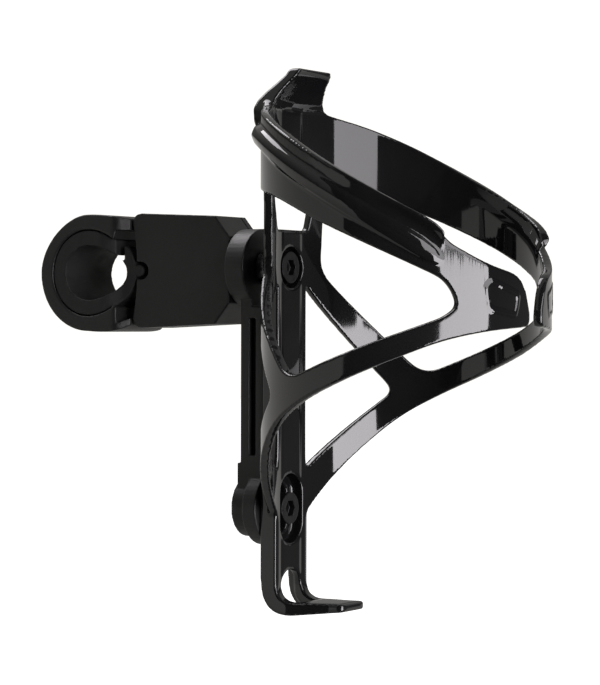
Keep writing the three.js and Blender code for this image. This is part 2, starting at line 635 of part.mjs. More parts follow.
/** The half-round notch that keys the rubber insert. */
function keyNotch() {
  const end = BLOCK_LEFT + NOTCH_DEPTH - NOTCH_R;
  return join(
    rod("y", NOTCH_R, -20, 20, [end, BLOCK_RISE], 24),
    box([BLOCK_LEFT - 6, -20, BLOCK_RISE - NOTCH_R], [end, 20, BLOCK_RISE + NOTCH_R]));
}

const COVER_SCREW_PLACES = [
  [BLOCK_RIGHT - 3.8, 8.4], [BLOCK_RIGHT - 3.8, -6.8], [BLOCK_LEFT + 2.8, 6.2], [BLOCK_LEFT + 2.8, -5.4],
];

/** The room inside the block for the band's arms, the draw bar and the nut, with the run they need. */
function blockCavity() {
  const top = UPPER_TONGUE_TOP + GAP;
  const bottom = LOWER_TONGUE_BOTTOM - GAP;
  const slot = TONGUE_THICKNESS + 2 * GAP;
  const near = CAVITY_NEAR_Y;
  const far = BLOCK_WIDTH;
  return join(
    box([BLOCK_LEFT + 6, near, bottom], [HOOK_END + GAP, far, top]),
    box([0, near, top - slot], [BLOCK_LEFT + 8, far, top]),
    box([0, near, bottom], [BLOCK_LEFT + 8, far, bottom + slot]));
}

function blockBody() {
  const screws = COVER_SCREW_PLACES.map(([x, z]) =>
    rod("y", COVER_SCREW_D / 2 + 0.15, 1.6 - BLOCK_WIDTH / 2, BLOCK_WIDTH, [x, z], 20));
  return cut(
    slabXZ(blockShape(), -BLOCK_WIDTH / 2, BODY_FAR_Y, 10), keyNotch(), blockCavity(), ...screws,
    rod("x", BOLT_D / 2 + RUN_FIT, HOOK_X, BLOCK_RIGHT + 1, [0, PIVOT_ABOVE_BAR]), discSeat());
}

/** The sunk seat for the friction disc in the block's right face. */
function discSeat() {
  return rod("x", DISC_R + GAP, BLOCK_RIGHT - DISC_THICKNESS / 2, BLOCK_RIGHT + 1, [0, PIVOT_ABOVE_BAR], 48);
}

/** The plate that closes the block on its far side. */
function blockCover() {
  const screws = COVER_SCREW_PLACES.flatMap(([x, z]) => [
    rod("y", COVER_SCREW_D / 2 + RUN_FIT, 0, BLOCK_WIDTH, [x, z], 20),
    rod("y", COVER_HEAD_D / 2 + RUN_FIT, BLOCK_WIDTH / 2 - 1.4, BLOCK_WIDTH, [x, z], 24),
  ]);
  return cut(slabXZ(blockShape(), COVER_INNER_Y, BLOCK_WIDTH / 2, 10), keyNotch(), discSeat(), ...screws);
}

// ---------------------------------------------------------------- draw band and insert

/** One quarter of an egg-shaped outline: a quarter from the top of a circle to a point on the middle line. */
function bulge(radius, end) {
  return new THREE.CubicBezierCurve(
    new THREE.Vector2(0, radius), new THREE.Vector2(end * 0.5, radius),
    new THREE.Vector2(end, radius * 0.53), new THREE.Vector2(end, 0));
}

/** The band's side view: a half ring open to the right, with two arms that end in hooks. */
function bandShape() {
  const inner = BAND_OUTER_R - BAND_WALL;
  const upperLow = UPPER_TONGUE_TOP - TONGUE_THICKNESS;
  const lowerTop = LOWER_TONGUE_BOTTOM + TONGUE_THICKNESS;
  const throat = bulge(inner, INSERT_END + GAP).getPoints(16).filter((point) => point.x < BAND_SECTION_END);
  const shape = new THREE.Shape();
  shape.moveTo(HOOK_END, UPPER_TONGUE_TOP);
  shape.lineTo(BLOCK_LEFT + 1.8, UPPER_TONGUE_TOP);
  shape.quadraticCurveTo(BLOCK_LEFT - 5.2, BAND_OUTER_R, 0, BAND_OUTER_R);
  shape.bezierCurveTo(-0.45 * BAND_OUTER_R, BAND_OUTER_R, -BAND_OUTER_R, 0.5 * BAND_OUTER_R, -BAND_OUTER_R, 0);
  shape.absarc(0, 0, BAND_OUTER_R, Math.PI, Math.PI * 1.5, false);
  shape.bezierCurveTo(
    5, -BAND_OUTER_R - 0.4, BLOCK_LEFT - 3.2, -BAND_OUTER_R - 0.5, BLOCK_LEFT - 1.2, LOWER_TONGUE_BOTTOM - 1.8);
  shape.lineTo(BLOCK_LEFT + 1.8, LOWER_TONGUE_BOTTOM);
  shape.lineTo(HOOK_END, LOWER_TONGUE_BOTTOM);
  shape.lineTo(HOOK_END, lowerTop + HOOK_HEIGHT);
  shape.lineTo(HOOK_X, lowerTop + HOOK_HEIGHT);
  shape.lineTo(HOOK_X, lowerTop);
  shape.lineTo(BAND_SECTION_END, lowerTop);
  throat.slice(1).reverse().forEach((point) => shape.lineTo(point.x, -point.y));
  shape.absarc(0, 0, inner, Math.PI * 1.5, Math.PI / 2, true);
  throat.slice(1).forEach((point) => shape.lineTo(point.x, point.y));
  shape.lineTo(BAND_SECTION_END, upperLow);
  shape.lineTo(HOOK_X, upperLow);
  shape.lineTo(HOOK_X, upperLow - HOOK_HEIGHT);
  shape.lineTo(HOOK_END, upperLow - HOOK_HEIGHT);
  shape.closePath();
  return shape;
}

/** An outline in the XY plane, extruded well above and below the clamp. */
function planSlab(corners) {
  const geometry = new THREE.ExtrudeGeometry(
    filletedShape(corners), { depth: 60, bevelEnabled: false, curveSegments: 4 });
  geometry.translate(0, 0, -30);
  return solid(geometry);
}

/** The draw band; beside each lower arm a thin rim carries the outer surface on to the block. */
function clampBand() {
  const half = BAND_WIDTH / 2;
  const waist = BLOCK_WIDTH / 2 + 0.5;
  const neck = BLOCK_CORNER_X - 1.5 * GAP;
  const plan = planSlab([
    [-BAND_OUTER_R - 4, -half, 0], [BAND_SECTION_END, -half, 1.5], [neck, -waist, 0], [neck, -TONGUE_HALF_WIDTH, 0],
    [50, -TONGUE_HALF_WIDTH, 0], [50, TONGUE_HALF_WIDTH, 0], [neck, TONGUE_HALF_WIDTH, 0],
    [neck, waist, 0], [BAND_SECTION_END, half, 1.5], [-BAND_OUTER_R - 4, half, 0],
  ]);
  const pocket = filletedShape([
    [BAND_SECTION_END, LOWER_TONGUE_BOTTOM + 3.7, 0], [BAND_SECTION_END, LOWER_TONGUE_BOTTOM - 2.1, 0.8],
    [neck + 1, LOWER_TONGUE_BOTTOM - 0.2, 0], [neck + 1, LOWER_TONGUE_BOTTOM + 3.7, 0],
  ]);
  return cut(
    slabXZ(bandShape(), -half, half, 28).intersect(plan),
    box([neck, -half, UPPER_TONGUE_TOP], [neck + 8, half, BAND_OUTER_R + 4]),
    box([neck, -half, -BAND_OUTER_R - 4], [neck + 8, half, LOWER_TONGUE_BOTTOM]),
    slabXZ(pocket, -half - 1, -TONGUE_HALF_WIDTH, 4), slabXZ(pocket, TONGUE_HALF_WIDTH, half + 1, 4));
}

/** The bar the bolt pulls on: it rests against the hooks of the band and holds the nut from turning. */
function drawBar() {
  const half = TONGUE_HALF_WIDTH - 0.1;
  const right = HOOK_X - GAP;
  const low = LOWER_TONGUE_BOTTOM + TONGUE_THICKNESS + GAP;
  const high = UPPER_TONGUE_TOP - TONGUE_THICKNESS - GAP;
  const flat = BOLT_NUT_AF / 2 + GAP;
  const floor = PIVOT_NUT_X + BOLT_NUT_H + GAP;
  return cut(
    box([DRAW_BAR_X, -half, low], [right, half, high]),
    box([DRAW_BAR_X - 1, -half - 1, PIVOT_ABOVE_BAR - flat], [floor, half + 1, PIVOT_ABOVE_BAR + flat]),
    rod("x", BOLT_D / 2 + RUN_FIT, DRAW_BAR_X - 1, right + 1, [0, PIVOT_ABOVE_BAR]));
}

/** The rubber insert: a slit egg-shaped sleeve that fills the band, with a bead keyed to the block. */
function rubberInsert() {
  const half = BAND_WIDTH / 2 - 0.2;
  const outline = (radius, end) => {
    const side = bulge(radius, end).getPoints(12);
    const shape = new THREE.Shape();
    shape.moveTo(0, radius);
    shape.absarc(0, 0, radius, Math.PI / 2, Math.PI * 1.5, false);
    side.slice(1, -1).forEach((point) => shape.lineTo(point.x, -point.y));
    side.slice(1).reverse().forEach((point) => shape.lineTo(point.x, point.y));
    shape.closePath();
    return shape;
  };
  const waist = BLOCK_WIDTH / 2 - 0.2;
  const plan = planSlab([
    [-BAND_OUTER_R, -half, 0], [INSERT_END - 8.3, -half, 2], [INSERT_END - 3.3, -waist, 2], [30, -waist, 0],
    [30, waist, 0], [INSERT_END - 3.3, waist, 2], [INSERT_END - 8.3, half, 2], [-BAND_OUTER_R, half, 0],
  ]);
  const sleeve = join(
    slabXZ(outline(INSERT_OUTER_R, INSERT_END), -half, half, 20),
    rod("y", KEY_R, -half, half, [BLOCK_LEFT + 0.5, BLOCK_RISE], 20));
  return cut(
    sleeve.intersect(plan),
    slabXZ(outline(INSERT_BORE_R, INSERT_END - INSERT_SIDE), -half - 1, half + 1, 20),
    box([INSERT_END - 5.5, -half - 1, 3.4], [INSERT_END - 5.5 + INSERT_SLIT, half + 1, INSERT_OUTER_R + 2]));
}

/** A small slotted screw that holds the cover. */
function coverScrew([x, z]) {
  const back = BLOCK_WIDTH / 2 - 0.2;
  return cut(
    join(
      rod("y", COVER_SCREW_D / 2, 2 - BLOCK_WIDTH / 2, back - 0.5, [x, z], 20),
      rod("y", COVER_HEAD_D / 2, back - 0.9, back, [x, z], 24)),
    box([x - 3, back - 0.4, z - 0.35], [x + 3, back + 1, z + 0.35]));
}

// ---------------------------------------------------------------- assembly

const FINISH = {
  glossPlastic: { color: 0x0c0c0d, roughness: 0.22, metalness: 0 },
  mattPlastic: { color: 0x1b1b1c, roughness: 0.55, metalness: 0 },
  rubber: { color: 0x202020, roughness: 0.8, metalness: 0 },
  blackSteel: { color: 0x17171a, roughness: 0.4, metalness: 0.9 },
  brightSteel: { color: 0xb9bcc0, roughness: 0.3, metalness: 1 },
};

const part = new THREE.Group();
const cageSide = new THREE.Group(); // everything whose heights are measured from the pivot
cageSide.position.z = PIVOT_ABOVE_BAR;
part.add(cageSide);

/** Adds one named piece to a group. */
function place(group, name, manifold, finish) {
  const mesh = new THREE.Mesh(geometryOf(manifold), new THREE.MeshStandardMaterial(FINISH[finish]));
  mesh.name = name;
  group.add(mesh);
}

place(cageSide, "cage", cage(), "glossPlastic");
place(cageSide, "adapter_arm", adapterArm(), "mattPlastic");
place(cageSide, "pivot_bolt", cageBolt(0, BOLT_TIP_X), "blackSteel");
place(cageSide, "lower_bolt", cageBolt(LOWER_BOLT_Z, ARM_NUT_X - 0.6), "blackSteel");
place(cageSide, "pivot_spacer", ring(4.6, BOLT_D / 2 + RUN_FIT, HEAD_FRONT_X + GAP, SPINE_BACK_X - GAP), "brightSteel");
place(cageSide, "pivot_nut", hexNut(PIVOT_NUT_X, 0), "brightSteel");
place(cageSide, "lower_nut", hexNut(ARM_NUT_X, LOWER_BOLT_Z), "brightSteel");
place(cageSide, "friction_disc", ring(DISC_R, 4, FRICTION_X, FRICTION_X + DISC_THICKNESS, 48), "rubber");
place(part, "block_body", blockBody(), "mattPlastic");
place(part, "block_cover", blockCover(), "mattPlastic");
place(part, "clamp_band", clampBand(), "mattPlastic");
place(part, "rubber_insert", rubberInsert(), "rubber");
place(part, "draw_bar", drawBar(), "brightSteel");
COVER_SCREW_PLACES.forEach((at, i) => place(part, `cover_screw_${i + 1}`, coverScrew(at), "blackSteel"));

export default part;
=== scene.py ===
"""Looks of a bottle cage on a swivelling arm, with a block and draw band that clamp it to a tube.

Everything is in metres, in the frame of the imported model: the tube's centre line is the Y axis, +X points
to the bottle and +Z is up.
"""

import json
import logging
import math
from dataclasses import dataclass, field
from enum import Enum

import bmesh
import bpy
import numpy as np
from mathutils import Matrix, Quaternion, Vector

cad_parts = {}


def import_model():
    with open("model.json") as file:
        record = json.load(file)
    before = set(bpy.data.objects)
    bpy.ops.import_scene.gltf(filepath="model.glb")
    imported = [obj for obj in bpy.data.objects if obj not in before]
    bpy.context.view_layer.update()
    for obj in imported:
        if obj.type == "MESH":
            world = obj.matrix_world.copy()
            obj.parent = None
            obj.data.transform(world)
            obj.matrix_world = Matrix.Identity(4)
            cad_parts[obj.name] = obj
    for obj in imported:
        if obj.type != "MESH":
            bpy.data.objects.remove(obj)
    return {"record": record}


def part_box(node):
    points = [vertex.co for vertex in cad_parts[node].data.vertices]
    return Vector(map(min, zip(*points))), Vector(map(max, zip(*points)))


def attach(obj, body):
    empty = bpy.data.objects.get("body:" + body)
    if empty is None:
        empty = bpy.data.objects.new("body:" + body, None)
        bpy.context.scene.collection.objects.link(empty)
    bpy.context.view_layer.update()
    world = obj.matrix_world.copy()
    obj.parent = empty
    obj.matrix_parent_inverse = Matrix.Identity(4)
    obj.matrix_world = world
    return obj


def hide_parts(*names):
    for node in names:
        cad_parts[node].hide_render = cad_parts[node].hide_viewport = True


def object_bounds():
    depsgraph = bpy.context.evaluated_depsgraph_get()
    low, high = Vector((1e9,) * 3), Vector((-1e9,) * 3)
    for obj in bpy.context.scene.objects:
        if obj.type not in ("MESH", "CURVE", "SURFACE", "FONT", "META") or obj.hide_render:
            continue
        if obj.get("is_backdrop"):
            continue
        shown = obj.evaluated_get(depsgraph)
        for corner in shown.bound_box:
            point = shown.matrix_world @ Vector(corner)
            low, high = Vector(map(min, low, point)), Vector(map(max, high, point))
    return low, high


LOG = logging.getLogger("bottle_cage")
MM = 0.001
RECORD: dict = {}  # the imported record, filled in by main


class Body(Enum):
    """The rigid bodies that pieces ride on."""

    BLOCK = "block"
    BAND = "band"
    PIVOT_SCREW = "pivot_screw"
    CAGE = "cage_and_arm"
    LOWER_SCREW = "lower_screw"


class Slot(Enum):
    """The material slots of the record."""

    GLOSS = "gloss_black_plastic"
    MATT = "matt_black_plastic"
    RUBBER = "black_rubber"
    BLACK_STEEL = "black_steel"
    BRIGHT_STEEL = "bright_steel"


# ---------------------------------------------------------------- finishes


class NodeSheet:
    """A material's node tree, with short ways to add and link its nodes."""

    def __init__(self, name: str) -> None:
        """Makes an empty material with a Principled shader.

        Args:
            name: the material's name.
        """
        self.material = bpy.data.materials.new(name)
        self.material.use_nodes = True
        self.tree = self.material.node_tree
        self.shader = self.tree.nodes["Principled BSDF"]
        self.place = self.tree.nodes.new("ShaderNodeTexCoord").outputs["Object"]

    def add(self, kind: str, **values: object) -> bpy.types.Node:
        """Adds a node and sets its attributes.

        Args:
            kind: the node's type name.
            values: attributes to set on it.

        Returns:
            The new node.
        """
        node = self.tree.nodes.new(kind)
        for key, value in values.items():
            setattr(node, key, value)
        return node

    def link(self, source: bpy.types.NodeSocket, target: bpy.types.NodeSocket) -> None:
        """Links an output to an input."""
        self.tree.links.new(source, target)

    def noise(self, scale: float, detail: float = 4.0, stretch: tuple = (1, 1, 1)) -> bpy.types.NodeSocket:
        """Adds a noise over the object's own coordinates.

        Args:
            scale: features per metre.
            detail: octaves.
            stretch: how much finer the noise runs along each axis.

        Returns:
            The noise's factor socket.
        """
        mapping = self.add("ShaderNodeMapping")
        mapping.inputs["Scale"].default_value = stretch
        self.link(self.place, mapping.inputs["Vector"])
        texture = self.add("ShaderNodeTexNoise")
        texture.inputs["Scale"].default_value = scale
        texture.inputs["Detail"].default_value = detail
        self.link(mapping.outputs["Vector"], texture.inputs["Vector"])
        return texture.outputs["Fac"]

    def spread(self, source: bpy.types.NodeSocket, low: float, high: float,
               start: float = 0.3, end: float = 0.7) -> bpy.types.NodeSocket:
        """Maps a factor between `start` and `end` on to the range `low` to `high`.

        Args:
            source: the factor.
            low: the result at `start`.
            high: the result at `end`.
            start: factor that gives `low`.
            end: factor that gives `high`.

        Returns:
            The mapped socket.
        """
        node = self.add("ShaderNodeMapRange")
        node.inputs["From Min"].default_value = start
        node.inputs["From Max"].default_value = end
        node.inputs["To Min"].default_value = low
        node.inputs["To Max"].default_value = high
        self.link(source, node.inputs["Value"])
        return node.outputs["Result"]

    def tint(self, factor: bpy.types.NodeSocket, dark: tuple, light: tuple) -> None:
        """Colours the shader between two colours by a factor from 0 to 1."""
        mix = self.add("ShaderNodeMix", data_type="RGBA")
        mix.inputs["A"].default_value = (*dark, 1)
        mix.inputs["B"].default_value = (*light, 1)
        self.link(factor, mix.inputs["Factor"])
        self.link(mix.outputs["Result"], self.shader.inputs["Base Color"])

    def bump(self, layers: list) -> None:
        """Chains bumps into the shader's normal.

        Args:
            layers: pairs of height socket and depth in metres.
        """
        last = None
        for height, depth in layers:
            node = self.add("ShaderNodeBump")
            node.inputs["Strength"].default_value = 1.0
            node.inputs["Distance"].default_value = depth
            self.link(height, node.inputs["Height"])
            if last is not None:
                self.link(last, node.inputs["Normal"])
            last = node.outputs["Normal"]
        self.link(last, self.shader.inputs["Normal"])


@dataclass(frozen=True)
class GlossPlastic:
    """Polished black moulding: mirror-like, with faint flow waves, dust haze and hairline scuffs."""

    name: str = "gloss_black_moulding"
    dark: tuple = (0.0065, 0.0065, 0.007)
    light: tuple = (0.012, 0.012, 0.0125)
    roughness: tuple = (0.035, 0.11)
    wave_depth: float = 0.00001

    def build(self) -> bpy.types.Material:
        """Makes the material."""
        sheet = NodeSheet(self.name)
        cloud = sheet.noise(38, 5)
        scuffs = sheet.noise(900, 3, (1, 1, 6))
        sheet.tint(sheet.spread(cloud, 0, 1), self.dark, self.light)
        haze = sheet.add("ShaderNodeMath", operation="ADD")
        sheet.link(sheet.spread(cloud, self.roughness[0], self.roughness[1], 0.42, 0.75), haze.inputs[0])
        sheet.link(sheet.spread(scuffs, 0, 0.05, 0.62, 0.75), haze.inputs[1])
        sheet.link(haze.outputs[0], sheet.shader.inputs["Roughness"])
        sheet.shader.inputs["Specular IOR Level"].default_value = 0.55
        sheet.bump([(sheet.noise(55, 2), self.wave_depth)])
        return sheet.material


@dataclass(frozen=True)
class MattPlastic:
    """Spark-textured black moulding with a fine grain and a little cloudiness."""

    name: str = "matt_black_moulding"
    dark: tuple = (0.011, 0.011, 0.0112)
    light: tuple = (0.019, 0.0188, 0.0185)
    roughness: tuple = (0.4, 0.54)
    grain: float = 3600
    grain_depth: float = 0.000035

    def build(self) -> bpy.types.Material:
        """Makes the material."""
        sheet = NodeSheet(self.name)
        cloud = sheet.noise(120, 5)
        grain = sheet.noise(self.grain, 2)
        sheet.tint(sheet.spread(cloud, 0, 1), self.dark, self.light)
        sheet.link(sheet.spread(cloud, *self.roughness), sheet.shader.inputs["Roughness"])
        sheet.shader.inputs["Specular IOR Level"].default_value = 0.45
        sheet.bump([(sheet.noise(300, 2), self.grain_depth * 0.7), (grain, self.grain_depth)])
        return sheet.material


@dataclass(frozen=True)
class Rubber:
    """Matt black rubber with a chalky bloom."""

    name: str = "soft_black_rubber"
    dark: tuple = (0.012, 0.012, 0.012)
    light: tuple = (0.024, 0.0235, 0.023)

    def build(self) -> bpy.types.Material:
        """Makes the material."""
        sheet = NodeSheet(self.name)
        bloom = sheet.noise(260, 6)
        sheet.tint(sheet.spread(bloom, 0, 1), self.dark, self.light)
        sheet.link(sheet.spread(bloom, 0.55, 0.75), sheet.shader.inputs["Roughness"])
        sheet.shader.inputs["Specular IOR Level"].default_value = 0.4
        sheet.bump([(sheet.noise(1800, 3), 0.00003), (bloom, 0.00003)])
        return sheet.material


@dataclass(frozen=True)
class Steel:
    """Turned or plated steel: fine turning marks and a mottled plating."""

    name: str
    dark: tuple
    light: tuple
    roughness: tuple
    metallic: float

    def build(self) -> bpy.types.Material:
        """Makes the material."""
        sheet = NodeSheet(self.name)
        mottle = sheet.noise(500, 4)
        marks = sheet.noise(2600, 2, (5, 1, 1))
        sheet.tint(sheet.spread(mottle, 0, 1), self.dark, self.light)
        sheet.link(sheet.spread(mottle, *self.roughness), sheet.shader.inputs["Roughness"])
        sheet.shader.inputs["Metallic"].default_value = self.metallic
        sheet.bump([(marks, 0.000012)])
        return sheet.material


BLACK_OXIDE = Steel(
    name="black_oxide_steel",
    dark=(0.016, 0.016, 0.018),
    light=(0.035, 0.034, 0.034),
    roughness=(0.26, 0.42),
    metallic=0.75,
)
ZINC_PLATE = Steel(
    name="zinc_plated_steel",
    dark=(0.5, 0.51, 0.53),
    light=(0.68, 0.68, 0.69),
    roughness=(0.2, 0.36),
    metallic=1.0,
)


@dataclass(frozen=True)
class PaleFloor:
    """The studio's pale floor, with the faintest unevenness."""

    name: str = "pale_floor"
    glow: float = 1.0

    def build(self) -> bpy.types.Material:
        """Makes the material."""
        sheet = NodeSheet(self.name)
        sheet.tint(sheet.spread(sheet.noise(3, 3), 0, 1), (0.86, 0.86, 0.86), (0.88, 0.88, 0.88))
        sheet.shader.inputs["Roughness"].default_value = 0.9
        sheet.shader.inputs["Emission Color"].default_value = (1, 1, 1, 1)
        sheet.shader.inputs["Emission Strength"].default_value = self.glow
        return sheet.material


class Finishes:
    """One material for each slot of the record."""

    def __init__(self) -> None:
        """Builds every material once."""
        self.by_slot = {
            Slot.GLOSS: GlossPlastic().build(),
            Slot.MATT: MattPlastic().build(),
            Slot.RUBBER: Rubber().build(),
            Slot.BLACK_STEEL: BLACK_OXIDE.build(),
            Slot.BRIGHT_STEEL: ZINC_PLATE.build(),
        }

    def dress(self, piece: bpy.types.Object, slot: Slot) -> None:
        """Gives a piece its one material.

        Args:
            piece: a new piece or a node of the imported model.
            slot: the record's slot.
        """
        piece.data.materials.clear()
        piece.data.materials.append(self.by_slot[slot])


# ---------------------------------------------------------------- meshes


@dataclass
class Moulding:
    """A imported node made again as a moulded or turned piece: its edges rounded, its flats kept."""

    node: str
    body: Body
    slot: Slot
    voxel: float = 0.25 * MM
    smooth: int = 5
    keep: float = 0.35

    def copied(self) -> bpy.types.Object:
        """Copies the node's mesh into a new object with its seams welded."""
        piece = bpy.data.objects.new(self.node + "_moulded", welded_mesh(self.node))
        bpy.context.scene.collection.objects.link(piece)
        return piece

    def rounded(self) -> bpy.types.Object:
        """Remeshes the copy evenly, then relaxes it so that every edge gets a small radius.

        Returns:
            The new piece, not yet dressed.
        """
        piece = self.copied()
        remesh = piece.modifiers.new("even", "REMESH")
        remesh.mode = "VOXEL"
        remesh.voxel_size = self.voxel
        relax = piece.modifiers.new("relax", "SMOOTH")
        relax.factor = 0.5
        relax.iterations = self.smooth
        return baked(piece)

    def thinned(self, piece: bpy.types.Object) -> bpy.types.Object:
        """Takes out the points that flats don't need."""
        if self.keep < 1:
            fewer = piece.modifiers.new("fewer", "DECIMATE")
            fewer.ratio = self.keep
            piece = baked(piece)
        return piece

    def build(self, finishes: Finishes) -> bpy.types.Object:
        """Makes, dresses and hangs the piece.

        Args:
            finishes: the materials.

        Returns:
            The finished piece.
        """
        piece = self.thinned(self.shaped(self.rounded()))
        piece.data.shade_smooth()
        finishes.dress(piece, self.slot)
        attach(piece, self.body.value)
        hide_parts(self.node)
        LOG.info("%s: %d faces", piece.name, len(piece.data.polygons))
        return piece

    def shaped(self, piece: bpy.types.Object) -> bpy.types.Object:
        """Hook for a piece's own shaping; a plain moulding needs none."""
        return piece


def moulding(node: str, body: Body, slot: Slot, voxel: float, smooth: int, keep: float) -> Moulding:
    """A dataclass field that holds a moulding with these sizes.

    Args:
        node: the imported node's name.
        body: the body that it rides on.
        slot: the record's material slot.
        voxel: the remesh's cell size.
        smooth: passes that round its edges.
        keep: the share of the faces that stays.

    Returns:
        The field.
    """
    return field(default_factory=lambda: Moulding(node, body, slot, voxel, smooth, keep))


def welded_mesh(node: str) -> bpy.types.Mesh:
    """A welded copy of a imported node's mesh.

    Args:
        node: the node's name.

    Returns:
        The new mesh.
    """
    work = bmesh.new()
    work.from_mesh(bpy.data.objects[node].data)
    bmesh.ops.remove_doubles(work, verts=work.verts, dist=1e-6)
    mesh = bpy.data.meshes.new(node + "_mesh")
    work.to_mesh(mesh)
    work.free()
    return mesh


def baked(piece: bpy.types.Object) -> bpy.types.Object:
    """Applies a piece's modifiers to its mesh.

    Args:
        piece: an object with modifiers.

    Returns:
        The same object, with the result as its own mesh.
    """
    graph = bpy.context.evaluated_depsgraph_get()
    result = bpy.data.meshes.new_from_object(piece.evaluated_get(graph))
    piece.modifiers.clear()
    piece.data = result
    return piece


def points_of(piece: bpy.types.Object) -> np.ndarray:
    """All of a piece's points, one row each."""
    flat = np.empty(len(piece.data.vertices) * 3, np.float32)
    piece.data.vertices.foreach_get("co", flat)
    return flat.reshape(-1, 3).astype(float)


def normals_of(piece: bpy.types.Object) -> np.ndarray:
    """The normals at a piece's points, one row each."""
    flat = np.empty(len(piece.data.vertices) * 3, np.float32)
    piece.data.vertices.foreach_get("normal", flat)
    return flat.reshape(-1, 3).astype(float)


def move_points(piece: bpy.types.Object, points: np.ndarray) -> None:
    """Puts a piece's points at new places."""
    piece.data.vertices.foreach_set("co", points.astype(np.float32).ravel())
    piece.data.update()


def step(values: np.ndarray, low: float, high: float) -> np.ndarray:
    """A smooth step from 0 at `low` to 1 at `high`."""
    t = np.clip((values - low) / (high - low), 0, 1)
    return t * t * (3 - 2 * t)


# ---------------------------------------------------------------- sub-assemblies


@dataclass
class CageMoulding(Moulding):
    """The cage: true round walls, and a lip that flares out along the top of the band to its front peaks."""

    node: str = "cage"
    body: Body = Body.CAGE
    slot: Slot = Slot.GLOSS
    voxel: float = 0.32 * MM
    smooth: int = 16
    keep: float = 0.5
    wall: float = 2.4 * MM
    proud: float = 0.5 * MM
    snap: float = 0.16 * MM
    settle: int = 4
    lip_flare: float = 2.1 * MM
    lip_depth: float = 6.5 * MM
    lip_overhang: float = 2.9 * MM
    rib_band: float = 17 * MM
    rib_softness: float = 0.35

    def __post_init__(self) -> None:
        """Works out the bottle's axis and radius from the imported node."""
        pivot = next(j for j in packed_joints() if j["name"] == "cage_swivel")["pos_m"]
        self.spine_x = pivot[0]
        self.pivot_z = pivot[2]
        band_half_width = (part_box(self.node)[1].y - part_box(self.node)[0].y) / 2
        self.outer = band_half_width - self.lip_overhang
        self.inner = self.outer - self.wall
        self.axis_x = self.spine_x + self.inner - self.proud

    def lip_height(self, angle: np.ndarray) -> np.ndarray:
        """Height of the band's top edge above the pivot, by degrees round from the front."""
        degrees = [0, 30, 40, 44, 48, 54, 63, 75, 92, 105, 119, 137, 160]
        heights = [-3, 0, 3, 5.2, 8.5, 11.5, 15, 19, 25.2, 29.7, 34, 38.3, 43]
        return np.interp(angle, degrees, heights) * MM

    def shaped(self, piece: bpy.types.Object) -> bpy.types.Object:
        """Trues the round walls and pulls out the lip.

        Args:
            piece: the evenly meshed cage.

        Returns:
            The same piece, with its points moved.
        """
        points, normals = points_of(piece), normals_of(piece)
        across = points[:, :2] - [self.axis_x, 0]
        radius = np.linalg.norm(across, axis=1)
        outward = across / radius[:, None]
        facing = np.abs((normals[:, :2] * outward).sum(1))
        for wall in (self.inner, self.outer):
            near = 1 - step(np.abs(radius - wall), self.snap * 0.6, self.snap * 1.6)
            radius += near * step(facing, 0.55, 0.85) * (wall - radius)
        angle = np.abs(np.degrees(np.arctan2(across[:, 1], across[:, 0])))
        height = points[:, 2] - self.pivot_z
        below = self.lip_height(angle) - height
        rib = (radius > self.outer) & (below < self.rib_band) & (angle < 172) & (angle > 42)
        peak = (1 - step(angle, 55, 75)) * (1 - step(below, 1 * MM, 4 * MM))
        soften = self.rib_softness + (1 - self.rib_softness) * step(angle, 105, 165) + 0.6 * peak
        radius[rib] = self.outer + (radius[rib] - self.outer) * np.minimum(soften, 1)[rib]
        rise = step(angle, 100, 52) * step(angle, 41, 47)
        flare = rise * (1 - step(below, 0, self.lip_depth)) ** 1.5
        inside = 1 - step(radius, self.inner, self.outer)
        radius += inside * flare * self.lip_flare
        points[:, :2] = outward * radius[:, None] + [self.axis_x, 0]
        move_points(piece, points)
        settle = piece.modifiers.new("settle", "SMOOTH")
        settle.factor = 0.5
        settle.iterations = self.settle
        return baked(piece)


def packed_joints() -> list:
    """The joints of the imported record."""
    return RECORD["behaviour"]["joints"]


@dataclass
class CageAndArm:
    """The cage, the arm that carries it, and what is fixed to them."""

    cage: CageMoulding = field(default_factory=CageMoulding)
    arm: Moulding = moulding("adapter_arm", Body.CAGE, Slot.MATT, 0.25 * MM, 4, 0.3)
    spacer: Moulding = moulding("pivot_spacer", Body.CAGE, Slot.BRIGHT_STEEL, 0.14 * MM, 3, 0.3)
    nut: Moulding = moulding("lower_nut", Body.CAGE, Slot.BRIGHT_STEEL, 0.14 * MM, 3, 0.3)

    def build(self, finishes: Finishes) -> None:
        """Builds every piece."""
        for piece in (self.cage, self.arm, self.spacer, self.nut):
            piece.build(finishes)


@dataclass
class ClampBlock:
    """The block, its far cover and the four screws that hold it, with the friction disc in its face."""

    body: Moulding = moulding("block_body", Body.BLOCK, Slot.MATT, 0.24 * MM, 6, 0.25)
    cover: Moulding = moulding("block_cover", Body.BLOCK, Slot.MATT, 0.2 * MM, 4, 0.25)
    screws: int = 4

    def build(self, finishes: Finishes) -> None:
        """Builds the mouldings and dresses the screws and the disc."""
        self.body.build(finishes)
        self.cover.build(finishes)
        for number in range(1, self.screws + 1):
            screw = Moulding(f"cover_screw_{number}", Body.BLOCK, Slot.BLACK_STEEL, 0.1 * MM, 2, 0.3)
            screw.build(finishes)
        Moulding("friction_disc", Body.BLOCK, Slot.RUBBER, 0.15 * MM, 2, 0.3).build(finishes)


